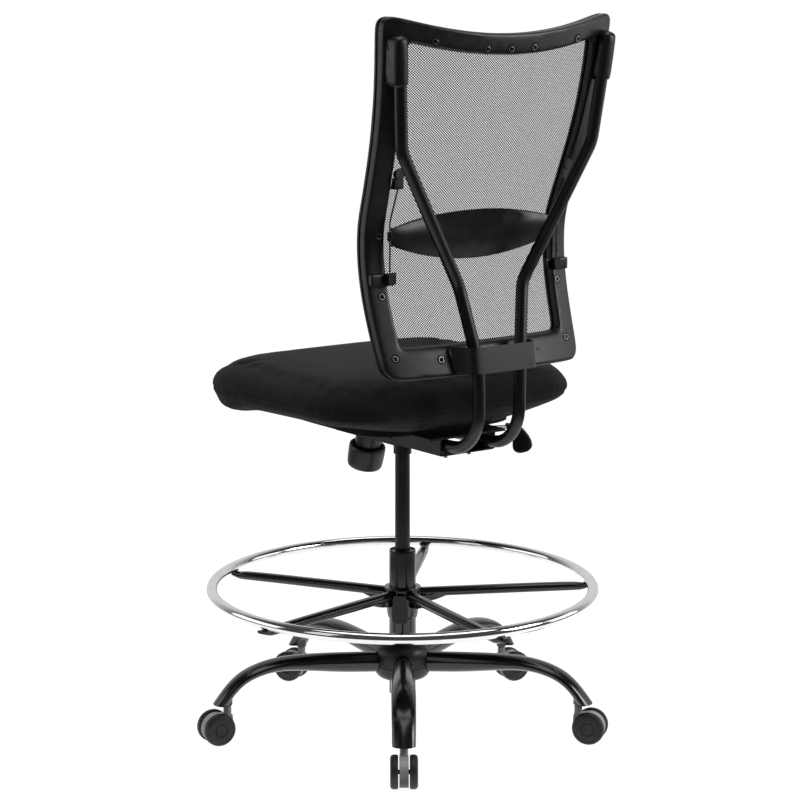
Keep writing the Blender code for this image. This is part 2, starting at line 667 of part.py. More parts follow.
def make_tension_knob():
    knob = turned("tension_knob", [
        (0, 0.0140), (0.0285, 0.0140), (0.0290, 0.0225), (0.0330, 0.0225), (0.0347, 0.0205),
        (0.0347, 0.0100), (0.0337, -0.0170), (0.0312, -0.0215), (0.0260, -0.0235), (0, -0.0240)],
        "black_plastic", steps=36)
    bolt = turned("tension_bolt", [
        (0, 0.0660), (0.0034, 0.0660), (0.0040, 0.0652), (0.0040, 0.0140 + GAP),
        (0, 0.0140 + GAP)], "steel", steps=14)
    for piece in (knob, bolt):
        piece.matrix_world = knob_frame()
    coil = []
    turns, per_turn = 5, 10
    for k in range(turns * per_turn + 1):
        turn = 2 * math.pi * k / per_turn
        coil.append((0.0150 * math.cos(turn), 0.0150 * math.sin(turn),
                     0.0172 + 0.0275 * k / (turns * per_turn)))
    spring = tube("tension_spring", coil, 0.0017, "steel", resolution=0)
    spring.matrix_world = knob_frame()


# centre, direction, half width and half thickness of the lever paddle's sections
PADDLE_SECTIONS = (
    ((-0.2160, 0.0356, 0.5490), (-1.0, 0.18, -0.12), 0.0062, 0.0058),
    ((-0.2300, 0.0380, 0.5472), (-0.9, 0.20, -0.35), 0.0072, 0.0057),
    ((-0.2390, 0.0402, 0.5410), (-0.5, 0.28, -0.80), 0.0098, 0.0054),
    ((-0.2430, 0.0440, 0.5300), (0.0, 0.38, -0.92), 0.0142, 0.0050),
    ((-0.2425, 0.0495, 0.5175), (0.05, 0.40, -0.92), 0.0186, 0.0046),
    ((-0.2415, 0.0535, 0.5080), (0.05, 0.42, -0.91), 0.0194, 0.0042),
    ((-0.2408, 0.0565, 0.5020), (0.05, 0.42, -0.91), 0.0156, 0.0036),
    ((-0.2405, 0.0580, 0.4988), (0.05, 0.42, -0.91), 0.0080, 0.0024),
)
PADDLE_ACROSS = Vector((-0.70, 0.714, 0.0))


def make_height_lever():
    """A bent rod with a paddle that droops from its end."""
    route = [(0.003, 0, 0.5595), (-0.052, 0.0, 0.5595), (-0.066, 0.0035, 0.5588),
             (-0.130, 0.0205, 0.5518), (-0.2290, 0.0380, 0.5470)]
    stem = tube("height_lever_rod", route, LEVER_ROD, "steel", resolution=2)
    cross = rod("lever_cross_pin", LEVER_PIVOT - Vector((0, 0.0120, 0)),
                LEVER_PIVOT + Vector((0, 0.0120, 0)), 0.0022, sides=12)
    join(stem, cross)
    rings = []
    for centre, direction, half_width, half_thick in PADDLE_SECTIONS:
        along = Vector(direction).normalized()
        across = (PADDLE_ACROSS - along * PADDLE_ACROSS.dot(along)).normalized()
        up = along.cross(across)
        rings.append([Vector(centre) + across * half_width * math.cos(turn)
                      + up * half_thick * math.sin(turn)
                      for turn in (2 * math.pi * k / 16 for k in range(16))])
    paddle = loft("height_lever_paddle", rings, "black_plastic")
    start, end = Vector(route[-2]), Vector(route[-1])
    reach = (end - start).normalized() * 2 * GAP
    cut(paddle, tube("paddle_bore", [start, end + reach], LEVER_ROD + 2 * GAP, resolution=2))
    for piece in (stem, paddle):
        place_mesh(piece, Matrix.Translation(-LEVER_PIVOT))
        piece.location = LEVER_PIVOT


# Seat

def make_seat_plate():
    low, high = PLATE_BOTTOM, PLATE_BOTTOM + PLATE_THICK
    plate = box("seat_plate", (-0.085, -0.125, low), (0.085, 0.195, high), "satin_black_paint")
    for side in (-1, 1):
        inner, outer = sorted((side * FLANGE_INNER, side * (FLANGE_INNER + FLANGE_THICK)))
        ear = box(f"plate_ear_{side}", (inner, TILT_AXIS_Y - 0.020, FLANGE_BOTTOM),
                  (outer, TILT_AXIS_Y + 0.020, low + 0.001))
        flange = box(f"plate_flange_{side}", (inner, 0.050, FLANGE_BOTTOM),
                     (outer, 0.195, low + 0.001))
        join(plate, ear, flange)
    pin_bore = rod("plate_pin_bore", (-0.08, TILT_AXIS_Y, TILT_AXIS_Z),
                   (0.08, TILT_AXIS_Y, TILT_AXIS_Z), PIN_RADIUS + GAP)
    cut(plate, pin_bore, *bolt_bores())
    pin = turned("tilt_pin", [
        (0, 0.0645), (0.008, 0.0645), (0.008, 0.0619), (PIN_RADIUS, 0.0619),
        (PIN_RADIUS, -0.0619), (0.008, -0.0619), (0.008, -0.0645), (0, -0.0645)], "steel",
        steps=16)
    pin.location = (0, TILT_AXIS_Y, TILT_AXIS_Z)
    pin.rotation_euler.y = math.radians(90)


BOLT_X, BOLT_Y = 0.0262, 0.1643


def bolt_bores():
    return [rod(f"bolt_bore_{side}", (side * BOLT_X, BOLT_Y, 0.53), (side * BOLT_X, BOLT_Y, 0.60),
                0.0035, sides=12) for side in (-1, 1)]


def make_tube_clamp():
    """The plate that holds the two back tubes up against the seat plate."""
    bottom = FLANGE_BOTTOM - 0.001
    clamp = box("tube_clamp_plate", (0.001 - FLANGE_INNER, 0.130, bottom),
                (FLANGE_INNER - 0.001, 0.195, bottom + 0.003), "satin_black_paint")
    cut(clamp, *bolt_bores())
    head = bottom - GAP
    for side, name in ((-1, "right"), (1, "left")):
        bolt = turned(f"clamp_bolt_{name}", [
            (0, 0.5838), (0.003, 0.5838), (0.003, head), (0.0065, head), (0.0065, head - 0.0055),
            (0.0035, head - 0.0055), (0.0035, head - 0.0100), (0, head - 0.0100)], "steel",
            steps=12)
        bolt.location = (side * BOLT_X, BOLT_Y, 0)


def seat_outline(inset, height, half_width=SEAT_HALF_WIDTH, front=SEAT_FRONT, rear=SEAT_REAR,
                 points=40, squareness=4.5):
    """A rounded square ring. Its front dips and its underside is shallower there."""
    ring = []
    middle, reach = (front + rear) / 2, (rear - front) / 2 - inset
    for k in range(points):
        turn = 2 * math.pi * (k + 0.5) / points
        c, s = math.cos(turn), math.sin(turn)
        x = (half_width - inset) * math.copysign(abs(c) ** (2 / squareness), c)
        y = middle + reach * math.copysign(abs(s) ** (2 / squareness), s)
        ring.append((x, y, height))
    return ring


def smooth_step(value):
    value = min(max(value, 0), 1)
    return value * value * (3 - 2 * value)


def shape_seat(point):
    """Drops the front edge like a waterfall, lifts the underside behind it, and sags the rear."""
    x, y, z = point
    lip = smooth_step((-0.08 - y) / 0.10)
    low = smooth_step((SEAT_WIDEST - z) / (SEAT_WIDEST - SEAT_UNDERSIDE))
    high = smooth_step((z - SEAT_WIDEST) / (SEAT_TOP - SEAT_WIDEST))
    sag = smooth_step((y - 0.05) / 0.10) * (1 - smooth_step((abs(x) - 0.06) / 0.14)) * low
    z = min(z, max(z - 0.022 * sag, REAR_UNDERSIDE))
    if z < SEAT_WIDEST:
        level = FRONT_UNDERSIDE + 51 * max(0, z - 0.612) ** 2
        z += lip * (level - z)
    return x, y, z - 0.008 * smooth_step((-0.17 - y) / 0.13) * high


# (height, inset) of the cushion's rings, from the underside up
CUSHION_RINGS = ((SEAT_UNDERSIDE, 0.175), (0.593, 0.125), (0.600, 0.085), (0.606, 0.060),
                 (0.612, 0.035), (0.622, 0.014), (SEAT_WIDEST, 0.0), (0.654, 0.003),
                 (0.668, 0.013), (0.678, 0.030), (0.684, 0.058), (SEAT_TOP, 0.110),
                 (SEAT_TOP, 0.150))


def make_seat():
    def pan_outline(grow):
        return [(x, y) for x, y, z in seat_outline(0, 0, 0.165 + grow, -0.165 - grow,
                                                   0.150 + grow)]

    bottom = PLATE_BOTTOM + PLATE_THICK + GAP
    pan = outline_plate("seat_pan", pan_outline(0), PAN_THICK, "plywood")
    pan.location.z = bottom + PAN_THICK / 2
    recess = outline_plate("pan_recess", pan_outline(GAP), 0.05)
    recess.location.z = bottom + PAN_THICK + GAP - 0.025
    rings = [[shape_seat(point) for point in seat_outline(inset, height)]
             for height, inset in CUSHION_RINGS]
    cut(loft("seat_cushion", rings, "seat_fabric"), recess)


# Back

def rear_face(x, z):
    return through(REAR_FACE, z) + through(WRAP, z) * (RAIL_X ** 2 - x * x)


def face_point(x, z, forward=0.0):
    return Vector((x, rear_face(x, z) - forward, z))


def frame_top(x):
    """The frame's top edge dips in the middle."""
    return 1.2865 + 0.0350 * min(abs(x) / 0.215, 1.08) ** 2


def frame_bottom(x):
    return FRAME_BOTTOM


def rounded_square(corner, along=7, up=17, corner_steps=3):
    """Points round the square -1..1, with corners of the given radii."""
    corner_x, corner_z = corner
    points = []
    for k, (sx, sz) in enumerate(((1, -1), (1, 1), (-1, 1), (-1, -1))):
        centre = (sx * (1 - corner_x), sz * (1 - corner_z))
        for step in range(corner_steps + 1):
            turn = math.radians(90 * (k - 1 + step / corner_steps))
            points.append((centre[0] + corner_x * math.cos(turn),
                           centre[1] + corner_z * math.sin(turn)))
        here = points[-1]
        after = ((1, 1 - corner_z), (corner_x - 1, 1), (-1, corner_z - 1), (1 - corner_x, -1))[k]
        count = up if k % 2 == 0 else along
        for step in range(1, count + 1):
            share = step / (count + 1)
            points.append((here[0] + (after[0] - here[0]) * share,
                           here[1] + (after[1] - here[1]) * share))
    return points


def frame_place(s, t, widths, inset_top, inset_bottom):
    """Turns a point of the square -1..1 into x and z on the frame."""
    guess = s * through(widths, 1.0)
    low, high = FRAME_BOTTOM + inset_bottom, frame_top(guess) - inset_top
    z = low + (t + 1) / 2 * (high - low)
    return s * through(widths, z), z


def frame_ring(name, shallow, deep, rear_chamfer, front_chamfer, finish):
    """One of the two hoops that grip the mesh, as a loft that runs once round the opening."""
    outer = [frame_place(s, t, FRAME_WIDTHS, 0, 0) for s, t in rounded_square((0.10, 0.075))]
    inner = [frame_place(s, t, OPENING_WIDTHS, 0.036, 0.052)
             for s, t in rounded_square((0.06, 0.045))]
    rings = []
    for (ox, oz), (ix, iz) in zip(outer, inner):
        length = math.hypot(ix - ox, iz - oz)
        ux, uz = (ix - ox) / length, (iz - oz) / length

        def at(inward, depth):
            x, z = ox + ux * inward, oz + uz * inward
            return face_point(x, z, depth)

        rings.append([at(0, deep - front_chamfer), at(0, shallow + rear_chamfer),
                      at(rear_chamfer, shallow), at(length / 2, shallow),
                      at(length - rear_chamfer, shallow), at(length, shallow + rear_chamfer),
                      at(length, deep - front_chamfer), at(length - front_chamfer, deep),
                      at(length / 2, deep), at(front_chamfer, deep)])
    return loft(name, rings, finish, closed=True)


def make_back_frame():
    frame_ring("back_frame_rear", 0.0, REAR_RING_DEPTH, 0.0030, 0.0006, "black_plastic")
    mesh_rear = REAR_RING_DEPTH + MESH_GAP
    mesh_front = mesh_rear + MESH_THICK
    frame_ring("back_frame_front", mesh_front + MESH_GAP, FRAME_DEPTH, 0.0006, 0.0030,
               "black_plastic")

    def mesh_point(forward):
        def surface(s, t):
            x, z = frame_place(s, t, FRAME_WIDTHS, 0.010, 0.010)
            return face_point(x * 0.955, z, forward)
        return surface

    sheet_block("back_mesh", 12, 30, mesh_point(mesh_front), mesh_point(mesh_rear),
                "mesh_fabric")


def face_cutter(name, x_range, z_range):
    """Everything from the frame's rear face forward, with the gap that touching parts keep."""
    (x0, x1), (z0, z1) = x_range, z_range

    def rear(s, t):
        x, z = x0 + (s + 1) / 2 * (x1 - x0), z0 + (t + 1) / 2 * (z1 - z0)
        return face_point(x, z, -FACE_GAP)

    def front(s, t):
        point = rear(s, t)
        return Vector((point.x, 0.10, point.z))

    return sheet_block(name, 6, 8, front, rear)


def back_tube_route(side):
    corners = [(0.0446, 0.080, BACK_TUBE_RUN_Z), (0.0446, BACK_TUBE_Y, BACK_TUBE_RUN_Z),
               (0.0450, BACK_TUBE_Y, 0.7200), (0.0695, 0.2570, 0.858),
               (0.2065, 0.2775, 1.095), (0.2205, 0.2918, 1.235)]
    corners = [Vector((side * x, y, z)) for x, y, z in corners]
    low = rounded_path(corners[:3], 0.074, steps=6)[:-1]
    middle = rounded_path([low[-1], corners[2], corners[3]], 0.25, steps=2)[1:-1]
    return low + middle + rounded_path([middle[-1], *corners[3:]], 0.070, steps=4)[1:]


def make_back_tubes():
    for side, name in ((1, "left"), (-1, "right")):
        route = back_tube_route(side)
        tube(f"back_tube_{name}", route, BACK_TUBE_RADIUS, "satin_black_paint")
        make_tube_cap(side, name, route)


def make_tube_cap(side, name, route):
    """A moulded socket behind the frame's top corner, which the tube plugs into."""
    bm = bmesh.new()
    bmesh.ops.create_cube(bm, size=1)
    bmesh.ops.scale(bm, vec=(0.0288, 0.080, 0.087), verts=bm.verts)
    cap = add(f"tube_cap_{name}", mesh_from(bm, "tube_cap"), "black_plastic")
    bevel(cap, 0.0120, 3)
    cap.matrix_world = (Matrix.Translation((side * 0.2222, 0.2665, 1.2465))
                        @ Matrix.Rotation(math.radians(side * 4.5), 4, "Y")
                        @ Matrix.Rotation(math.radians(-5.5), 4, "X"))
    start, end = route[-2], route[-1]
    along = (end - start).normalized()
    bore = rod(f"tube_cap_bore_{name}", start, end + along * GAP, BACK_TUBE_RADIUS + 2 * GAP,
               sides=20)
    x_range = sorted((side * 0.175, side * 0.285))
    cut(cap, face_cutter(f"tube_cap_face_{name}", x_range, (1.17, 1.335)), bore)


def make_tube_strap():
    """A hat-shaped strap that ties both tubes to the bottom of the frame."""
    half = [(0.0, 0.2990), (0.0575, 0.2990), (0.0655, 0.2968), (0.0715, 0.2900),
            (0.0835, 0.2575)]
    line = [Vector((-x, y, 0)) for x, y in half[:0:-1]] + [Vector((x, y, 0)) for x, y in half]
    bm = bmesh.new()
    height = 0.0455
    rows = [[bm.verts.new(point + Vector((0, 0, dz))) for point in line]
            for dz in (-height / 2, height / 2)]
    for i in range(len(line) - 1):
        bm.faces.new((rows[0][i], rows[0][i + 1], rows[1][i + 1], rows[1][i]))
    strap = add("tube_strap", mesh_from(bm, "tube_strap"), "black_plastic")
    middle = 0.734
    lean = Matrix.Identity(4)
    lean[1][2] = -0.15
    place_mesh(strap, Matrix.Translation((0, 0, middle)) @ lean)
    solid = strap.modifiers.new("thickness", "SOLIDIFY")
    solid.thickness = 0.003
    solid.offset = 0
    cut(strap, face_cutter("tube_strap_face", (-0.13, 0.13), (0.69, 0.775)))


# Lumbar support


def lumbar_surface(thickness):
    def surface(s, t):
        x = s * LUMBAR_END
        top = 0.9845 - 0.0235 * s * s
        bottom = 0.8985 + 0.0330 * s * s
        z = bottom + (t + 1) / 2 * (top - bottom)
        wave = 0.0022 * math.sin(math.pi * t) * (1 - s ** 4)
        clear = max(rear_face(x, z + slide) for slide in LUMBAR_SLIDES) - REAR_RING_DEPTH + 0.0014
        y = max(0.1995 + 0.0085 * s * s + wave, clear)
        return Vector((x, y + thickness * (1 - 0.45 * s ** 4) * (1 - 0.35 * t * t), z))
    return surface


def make_lumbar():
    pad = sheet_block("lumbar_pad", 16, 6, lumbar_surface(0.0), lumbar_surface(0.0100),
                      "black_plastic")
    for side, name in ((1, "left"), (-1, "right")):
        x, y = side * LUMBAR_WIRE_X, LUMBAR_WIRE_Y
        knuckle = rod(f"lumbar_knuckle_{name}", (x, y, 0.9400), (x, y, 0.9560), 0.0046, sides=14)
        neck = box(f"lumbar_neck_{name}", (min(x, side * 0.170), y - 0.0030, 0.9410),
                   (max(x, side * 0.170), y - 0.0005, 0.9550))
        bore = rod(f"lumbar_bore_{name}", (x, y, 0.93), (x, y, 0.97), 0.0021, sides=12)
        cut(join(pad, neck, knuckle), bore)
        make_lumbar_hanger(side, name)
        make_lumbar_clip(side, name)


def make_lumbar_hanger(side, name):
    """A wire that the pad rides on, with the bracket that screws its top end to the rail."""
    x, y = side * LUMBAR_WIRE_X, LUMBAR_WIRE_Y
    corners = [Vector((x, y, 0.8860)), Vector((x, y, 0.9720)), Vector((x, y + 0.025, 1.0350))]
    wire = tube(f"lumbar_wire_{name}", rounded_path(corners, 0.030, steps=3), LUMBAR_WIRE_RADIUS,
                "satin_black_paint", resolution=1)
    foot = box(f"lumbar_bracket_{name}", (x - 0.0085, 0.200, 1.0300), (x + 0.0085, 0.2400, 1.0480))
    lug = rod(f"lumbar_lug_{name}", (x, 0.200, 1.0560), (x, 0.2430, 1.0560), 0.0095, sides=18)
    face = face_cutter(f"lumbar_bracket_face_{name}", sorted((side * 0.155, side * 0.215)),
                       (1.01, 1.08))
    join(wire, foot, lug)
    cut(wire, face)


def make_lumbar_clip(side, name):
    """A clip wrapped round the side rail, under the wire's lower end."""
    x_inner, x_outer = side * 0.1640, side * 0.2170
    low, high = 0.8630, 0.8850
    plate = box(f"lumbar_clip_{name}", (min(x_inner, x_outer), 0.1700, low),
                (max(x_inner, x_outer), 0.2070, high), "black_plastic")
    bevel(plate, 0.0030, 2)
    face = face_cutter(f"lumbar_clip_face_{name}", sorted((side * 0.150, side * 0.250)),
                       (0.85, 0.90))
    boss = box(f"lumbar_clip_boss_{name}", (side * LUMBAR_WIRE_X - 0.006, 0.2040, low + 0.002),
               (side * LUMBAR_WIRE_X + 0.006, 0.2180, high))
    cut(join(plate, boss), face)


def clear_scene():
    for item in list(bpy.data.objects):
        bpy.data.objects.remove(item)


clear_scene()
CHAIR = new_collection("drafting_chair")
CUTTERS = new_collection("cutters")
CUTTERS.hide_render = True
make_legs()
make_hub()
make_column()
make_casters()
make_foot_ring()
make_gas_cylinder()
make_tilt_housing()
make_tension_knob()
make_height_lever()
make_seat_plate()
make_tube_clamp()
make_seat()
make_back_frame()
make_back_tubes()
make_tube_strap()
make_lumbar()
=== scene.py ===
"""Looks of the drafting chair: materials, upholstery, woven back, fittings, light and camera."""

import json
import math

import bmesh
import bpy
from mathutils import Matrix, Vector
from mathutils.bvhtree import BVHTree

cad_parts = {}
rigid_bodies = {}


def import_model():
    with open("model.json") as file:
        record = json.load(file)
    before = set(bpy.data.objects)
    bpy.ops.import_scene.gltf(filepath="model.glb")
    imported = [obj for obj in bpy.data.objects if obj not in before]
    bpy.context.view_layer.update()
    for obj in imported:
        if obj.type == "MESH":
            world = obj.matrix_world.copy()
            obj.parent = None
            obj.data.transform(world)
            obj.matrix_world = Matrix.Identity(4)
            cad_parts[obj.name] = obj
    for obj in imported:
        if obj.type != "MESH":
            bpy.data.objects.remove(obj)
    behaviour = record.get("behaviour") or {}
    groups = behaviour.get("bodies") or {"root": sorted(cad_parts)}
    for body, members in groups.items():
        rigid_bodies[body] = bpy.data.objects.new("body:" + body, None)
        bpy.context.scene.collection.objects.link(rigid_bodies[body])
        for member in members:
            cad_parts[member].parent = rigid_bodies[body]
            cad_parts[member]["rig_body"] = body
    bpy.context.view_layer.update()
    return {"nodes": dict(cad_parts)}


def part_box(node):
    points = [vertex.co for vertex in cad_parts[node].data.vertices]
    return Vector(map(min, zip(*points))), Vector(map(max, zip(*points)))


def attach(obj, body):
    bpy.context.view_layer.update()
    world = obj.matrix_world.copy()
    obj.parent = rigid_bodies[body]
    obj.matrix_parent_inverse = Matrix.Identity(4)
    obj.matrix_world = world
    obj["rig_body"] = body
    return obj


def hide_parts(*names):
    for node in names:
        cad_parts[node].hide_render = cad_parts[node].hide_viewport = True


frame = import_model()
NODES = frame["nodes"]

# Behind the chair, to the sitter's left
CAMERA_PLACE = (2.530, 3.429, 1.397)
CAMERA_TURN = 143.58  # degrees about Z
CAMERA_DIP = 10.38  # degrees below level
CAMERA_LENS = 106.5
CAMERA_SHIFT = -0.0031

MESH_PITCH_X = 0.0050  # from hole to hole along a row of the woven back
MESH_PITCH_Z = 0.0044
MESH_OPEN = 0.32  # higher leaves thicker strands

WEAVE_COLUMNS = 48  # cells of the sheet that carries the weave
WEAVE_ROWS = 72
WEAVE_RIM = 0.0006  # kept clear at the sheet's lower and upper ends

CUSHION_VOXEL = 0.006
CUSHION_FREE = 0.600  # height above which the padding is smoothed
CUSHION_PINNED = 0.606  # height below which the cover is stapled to the board
PIN_FADE = 0.020
CUSHION_SWELL = 0.007  # the furthest the cloth may move a point
CUSHION_FILL = 1.0  # of the way back out to the padding's surface
SEAM_DROP = 0.052  # from the cushion's top down to the border seam
SEAM_WIDTH = 0.006
SEAM_DEPTH = 0.0016
STITCH_ROW = 0.0050  # from the seam to the stitches on each side of it
STITCH_PITCH = 0.0075
STITCH_LENGTH = 0.0048
# (share of the length, lift, radius) at the ends and shoulders of a stitch
STITCH_SHAPE = ((-0.5, -0.0004, 0.0002), (-0.3, 0.0002, 0.00042),
                (0.3, 0.0002, 0.00042), (0.5, -0.0004, 0.0002))
WHEEL_RADIUS = 0.030
CREASE_ANGLE = 50  # degrees; sharper edges stay sharp when a surface is refined
SKIN_LEVELS = 2
# beginnings of the names of the CAD nodes that get a smooth skin
REFINED = ("back_tube_", "back_frame_", "base_leg_", "column_sleeve", "foot_ring_spoke_",
           "foot_ring_collar", "gas_cylinder", "height_lever_", "hub_cover", "hub_housing",
           "lumbar_", "tension_knob", "tube_cap_", "tube_strap", "ring_lock_lever")

BACKDROP_LIGHT = 0.70  # what the white backdrop behind the chair adds to reflections
ROOM_LIGHT = 0.06  # and the dark rest of the studio
NEAR_FLOOR = 1.1  # radius of the floor that shows in reflections
FAR_FLOOR = 14.0
FLOOR_COLOUR = (0.30, 0.30, 0.30, 1)
FLOOR_GLOW = 0.95
WHITE = (1, 1, 1, 1)
LIGHT_AIM = (0, 0, 0.7)
# name, place, width and height, and power of each softbox
SOFTBOXES = (
    ("top_light", (0.0, 0.3, 4.2), (3.6, 3.6), 75),
    ("right_light", (-2.0, 2.6, 1.9), (1.3, 1.3), 42),
    ("left_light", (3.4, 0.4, 1.8), (1.0, 2.4), 6),
    ("far_left_light", (2.8, -2.1, 1.0), (2.4, 2.0), 20),
    ("far_right_light", (-3.2, 1.5, 0.9), (1.6, 1.8), 12),
)


# Materials

class Graph:
    """A material's nodes, added one call at a time."""

    def __init__(self, name):
        self.material = bpy.data.materials.new(name)
        self.material.use_nodes = True
        self.nodes = self.material.node_tree.nodes
        self.links = self.material.node_tree.links
        self.shader = self.nodes["Principled BSDF"]
        self.place = self.nodes.new("ShaderNodeTexCoord").outputs["Object"]

    def link(self, source, target):
        self.links.new(source, target)

    def add(self, kind, inputs=(), **settings):
        node = self.nodes.new(kind)
        for key, value in settings.items():
            setattr(node, key, value)
        for key, value in dict(inputs).items():
            if isinstance(value, bpy.types.NodeSocket):
                self.link(value, node.inputs[key])
            else:
                node.inputs[key].default_value = value
        return node

    def noise(self, scale, detail=3.0, roughness=0.5, stretch=None):
        place = self.place
        if stretch:
            place = self.add("ShaderNodeMapping", {"Vector": place, "Scale": stretch}).outputs[0]
        return self.add("ShaderNodeTexNoise", {"Vector": place, "Scale": scale, "Detail": detail,
                                               "Roughness": roughness}).outputs["Fac"]

    def math(self, operation, first, second=0.0):
        return self.add("ShaderNodeMath", {0: first, 1: second}, operation=operation).outputs[0]

    def spread(self, value, low, high, start=0.3, end=0.7):
        """The value's middle range, mapped to low..high."""
        return self.add("ShaderNodeMapRange", {
            "Value": value, "From Min": start, "From Max": end,
            "To Min": low, "To Max": high}).outputs["Result"]

    def tint(self, factor, first, second):
        mix = self.add("ShaderNodeMix", data_type="RGBA")
        self.link(factor, mix.inputs[0])
        mix.inputs[6].default_value = (*first, 1)
        mix.inputs[7].default_value = (*second, 1)
        return mix.outputs[2]

    def bump(self, height, strength, distance, under=None):
        node = self.add("ShaderNodeBump", {"Height": height, "Strength": strength,
                                           "Distance": distance})
        if under is not None:
            self.link(under, node.inputs["Normal"])
        return node.outputs["Normal"]

    def set(self, **values):
        names = {"colour": "Base Color", "roughness": "Roughness", "metallic": "Metallic",
                 "normal": "Normal", "coat": "Coat Weight", "coat_roughness": "Coat Roughness",
                 "sheen": "Sheen Weight", "sheen_roughness": "Sheen Roughness", "alpha": "Alpha",
                 "specular": "Specular IOR Level"}
        for key, value in values.items():
            socket = self.shader.inputs[names[key]]
            if isinstance(value, bpy.types.NodeSocket):
                self.link(value, socket)
            else:
                socket.default_value = (*value, 1) if isinstance(value, tuple) else value
        return self.material


def paint(name, colour, worn, rough, grain, depth, coat=0.0):
    """Paint over steel: slow gloss changes, a fine skin texture, and thin edges rubbed lighter."""
    g = Graph(name)
    edge = g.add("ShaderNodeNewGeometry").outputs["Pointiness"]
    rubbed = g.math("MULTIPLY", g.spread(edge, 0.0, 1.0, 0.53, 0.62), g.noise(160, 4))
    skin = g.noise(grain, 2, 0.6)
    marks = g.noise(34, 6, 0.7)
    return g.set(colour=g.tint(rubbed, colour, worn),
                 roughness=g.spread(marks, *rough),
                 normal=g.bump(skin, 0.35, depth), coat=coat, coat_roughness=0.12)


def moulded(name, colour, pale, rough, grain, depth):
    """Moulded plastic with a spark-eroded grain."""
    g = Graph(name)
    cells = g.add("ShaderNodeTexVoronoi", {"Vector": g.place, "Scale": grain},
                  feature="SMOOTH_F1").outputs["Distance"]
    cloud = g.noise(18, 5, 0.6)
    skin = g.bump(g.noise(grain * 0.6, 3), 0.25, depth)
    return g.set(colour=g.tint(g.spread(cloud, 0.0, 1.0), colour, pale),
                 roughness=g.spread(g.noise(60, 4), *rough),
                 normal=g.bump(cells, 0.45, depth, skin))


def plated(name, colour, dull, rough, brushed):
    """Bright metal with a faint drawn grain and small dull patches."""
    g = Graph(name)
    grain = g.noise(brushed, 2, 0.5, (1.0, 1.0, 14.0))
    patches = g.noise(26, 6, 0.7)
    return g.set(colour=g.tint(g.spread(patches, 0.0, 1.0, 0.52, 0.75), colour, dull),
                 roughness=g.spread(patches, *rough), metallic=1.0,
                 normal=g.bump(grain, 0.06, 0.00005))


def woven_fabric(name):
    """Close woven polyester: two thread directions, slubs and a soft bloom."""
    g = Graph(name)
    warp, weft, rise = (
        g.add("ShaderNodeTexWave", {"Vector": g.place, "Scale": 260.0, "Distortion": 1.2,
                                    "Detail": 2.0}, bands_direction=axis).outputs["Fac"]
        for axis in "XYZ")
    cloth = g.math("ADD", g.math("MULTIPLY", warp, weft), g.math("MULTIPLY", rise, 0.5))
    slubs = g.noise(900, 4, 0.7)
    height = g.math("ADD", cloth, g.math("MULTIPLY", slubs, 0.7))
    # Painted shade: the colour darkens where the weave sits low between the threads, and the slubs
    # lighten it in places
    shade = g.math("MULTIPLY", g.spread(height, 0.0, 1.0, 0.3, 1.3), 0.8)
    return g.set(colour=g.tint(shade, (0.0045, 0.0045, 0.0050), (0.017, 0.017, 0.018)),
                 roughness=g.spread(g.noise(40, 5), 0.82, 0.95), specular=0.25,
                 sheen=0.08, sheen_roughness=0.4,
                 normal=g.bump(height, 0.6, 0.0004))


def dust_cover(name):
    """Spun black cloth that lines the underside of the seat board."""
    g = Graph(name)
    fibres = g.noise(500, 6, 0.8)
    dimples = g.add("ShaderNodeTexVoronoi", {"Vector": g.place, "Scale": 620.0}).outputs["Distance"]
    return g.set(colour=g.tint(fibres, (0.010, 0.010, 0.011), (0.030, 0.030, 0.031)),
                 roughness=0.9, specular=0.2, normal=g.bump(dimples, 0.5, 0.0003))


def open_weave(name):
    """Leno mesh: rows of holes, each row set half a pitch along, between twisted strands."""
    g = Graph(name)
    across = g.add("ShaderNodeSeparateXYZ",
                   {0: g.add("ShaderNodeUVMap").outputs["UV"]})
    u = g.math("MULTIPLY", across.outputs[0], 2 * math.pi / MESH_PITCH_X)
    v = g.math("MULTIPLY", across.outputs[1], 2 * math.pi / MESH_PITCH_Z)
    rows = g.math("COSINE", g.math("ADD", u, v))
    columns = g.math("COSINE", g.math("SUBTRACT", u, v))
    field = g.math("ADD", rows, columns)
    strand = g.math("LESS_THAN", field, MESH_OPEN)
    twist = g.math("SINE", g.math("MULTIPLY", g.math("ADD", u, g.math("MULTIPLY", v, 0.5)), 4.0))
    height = g.math("SUBTRACT", g.math("MULTIPLY", twist, 0.25), g.math("MULTIPLY", field, 0.5))
    return g.set(colour=g.tint(g.noise(300, 4), (0.008, 0.008, 0.009), (0.024, 0.024, 0.025)),
                 roughness=0.72, specular=0.3, alpha=strand,
                 normal=g.bump(height, 0.5, 0.0005))


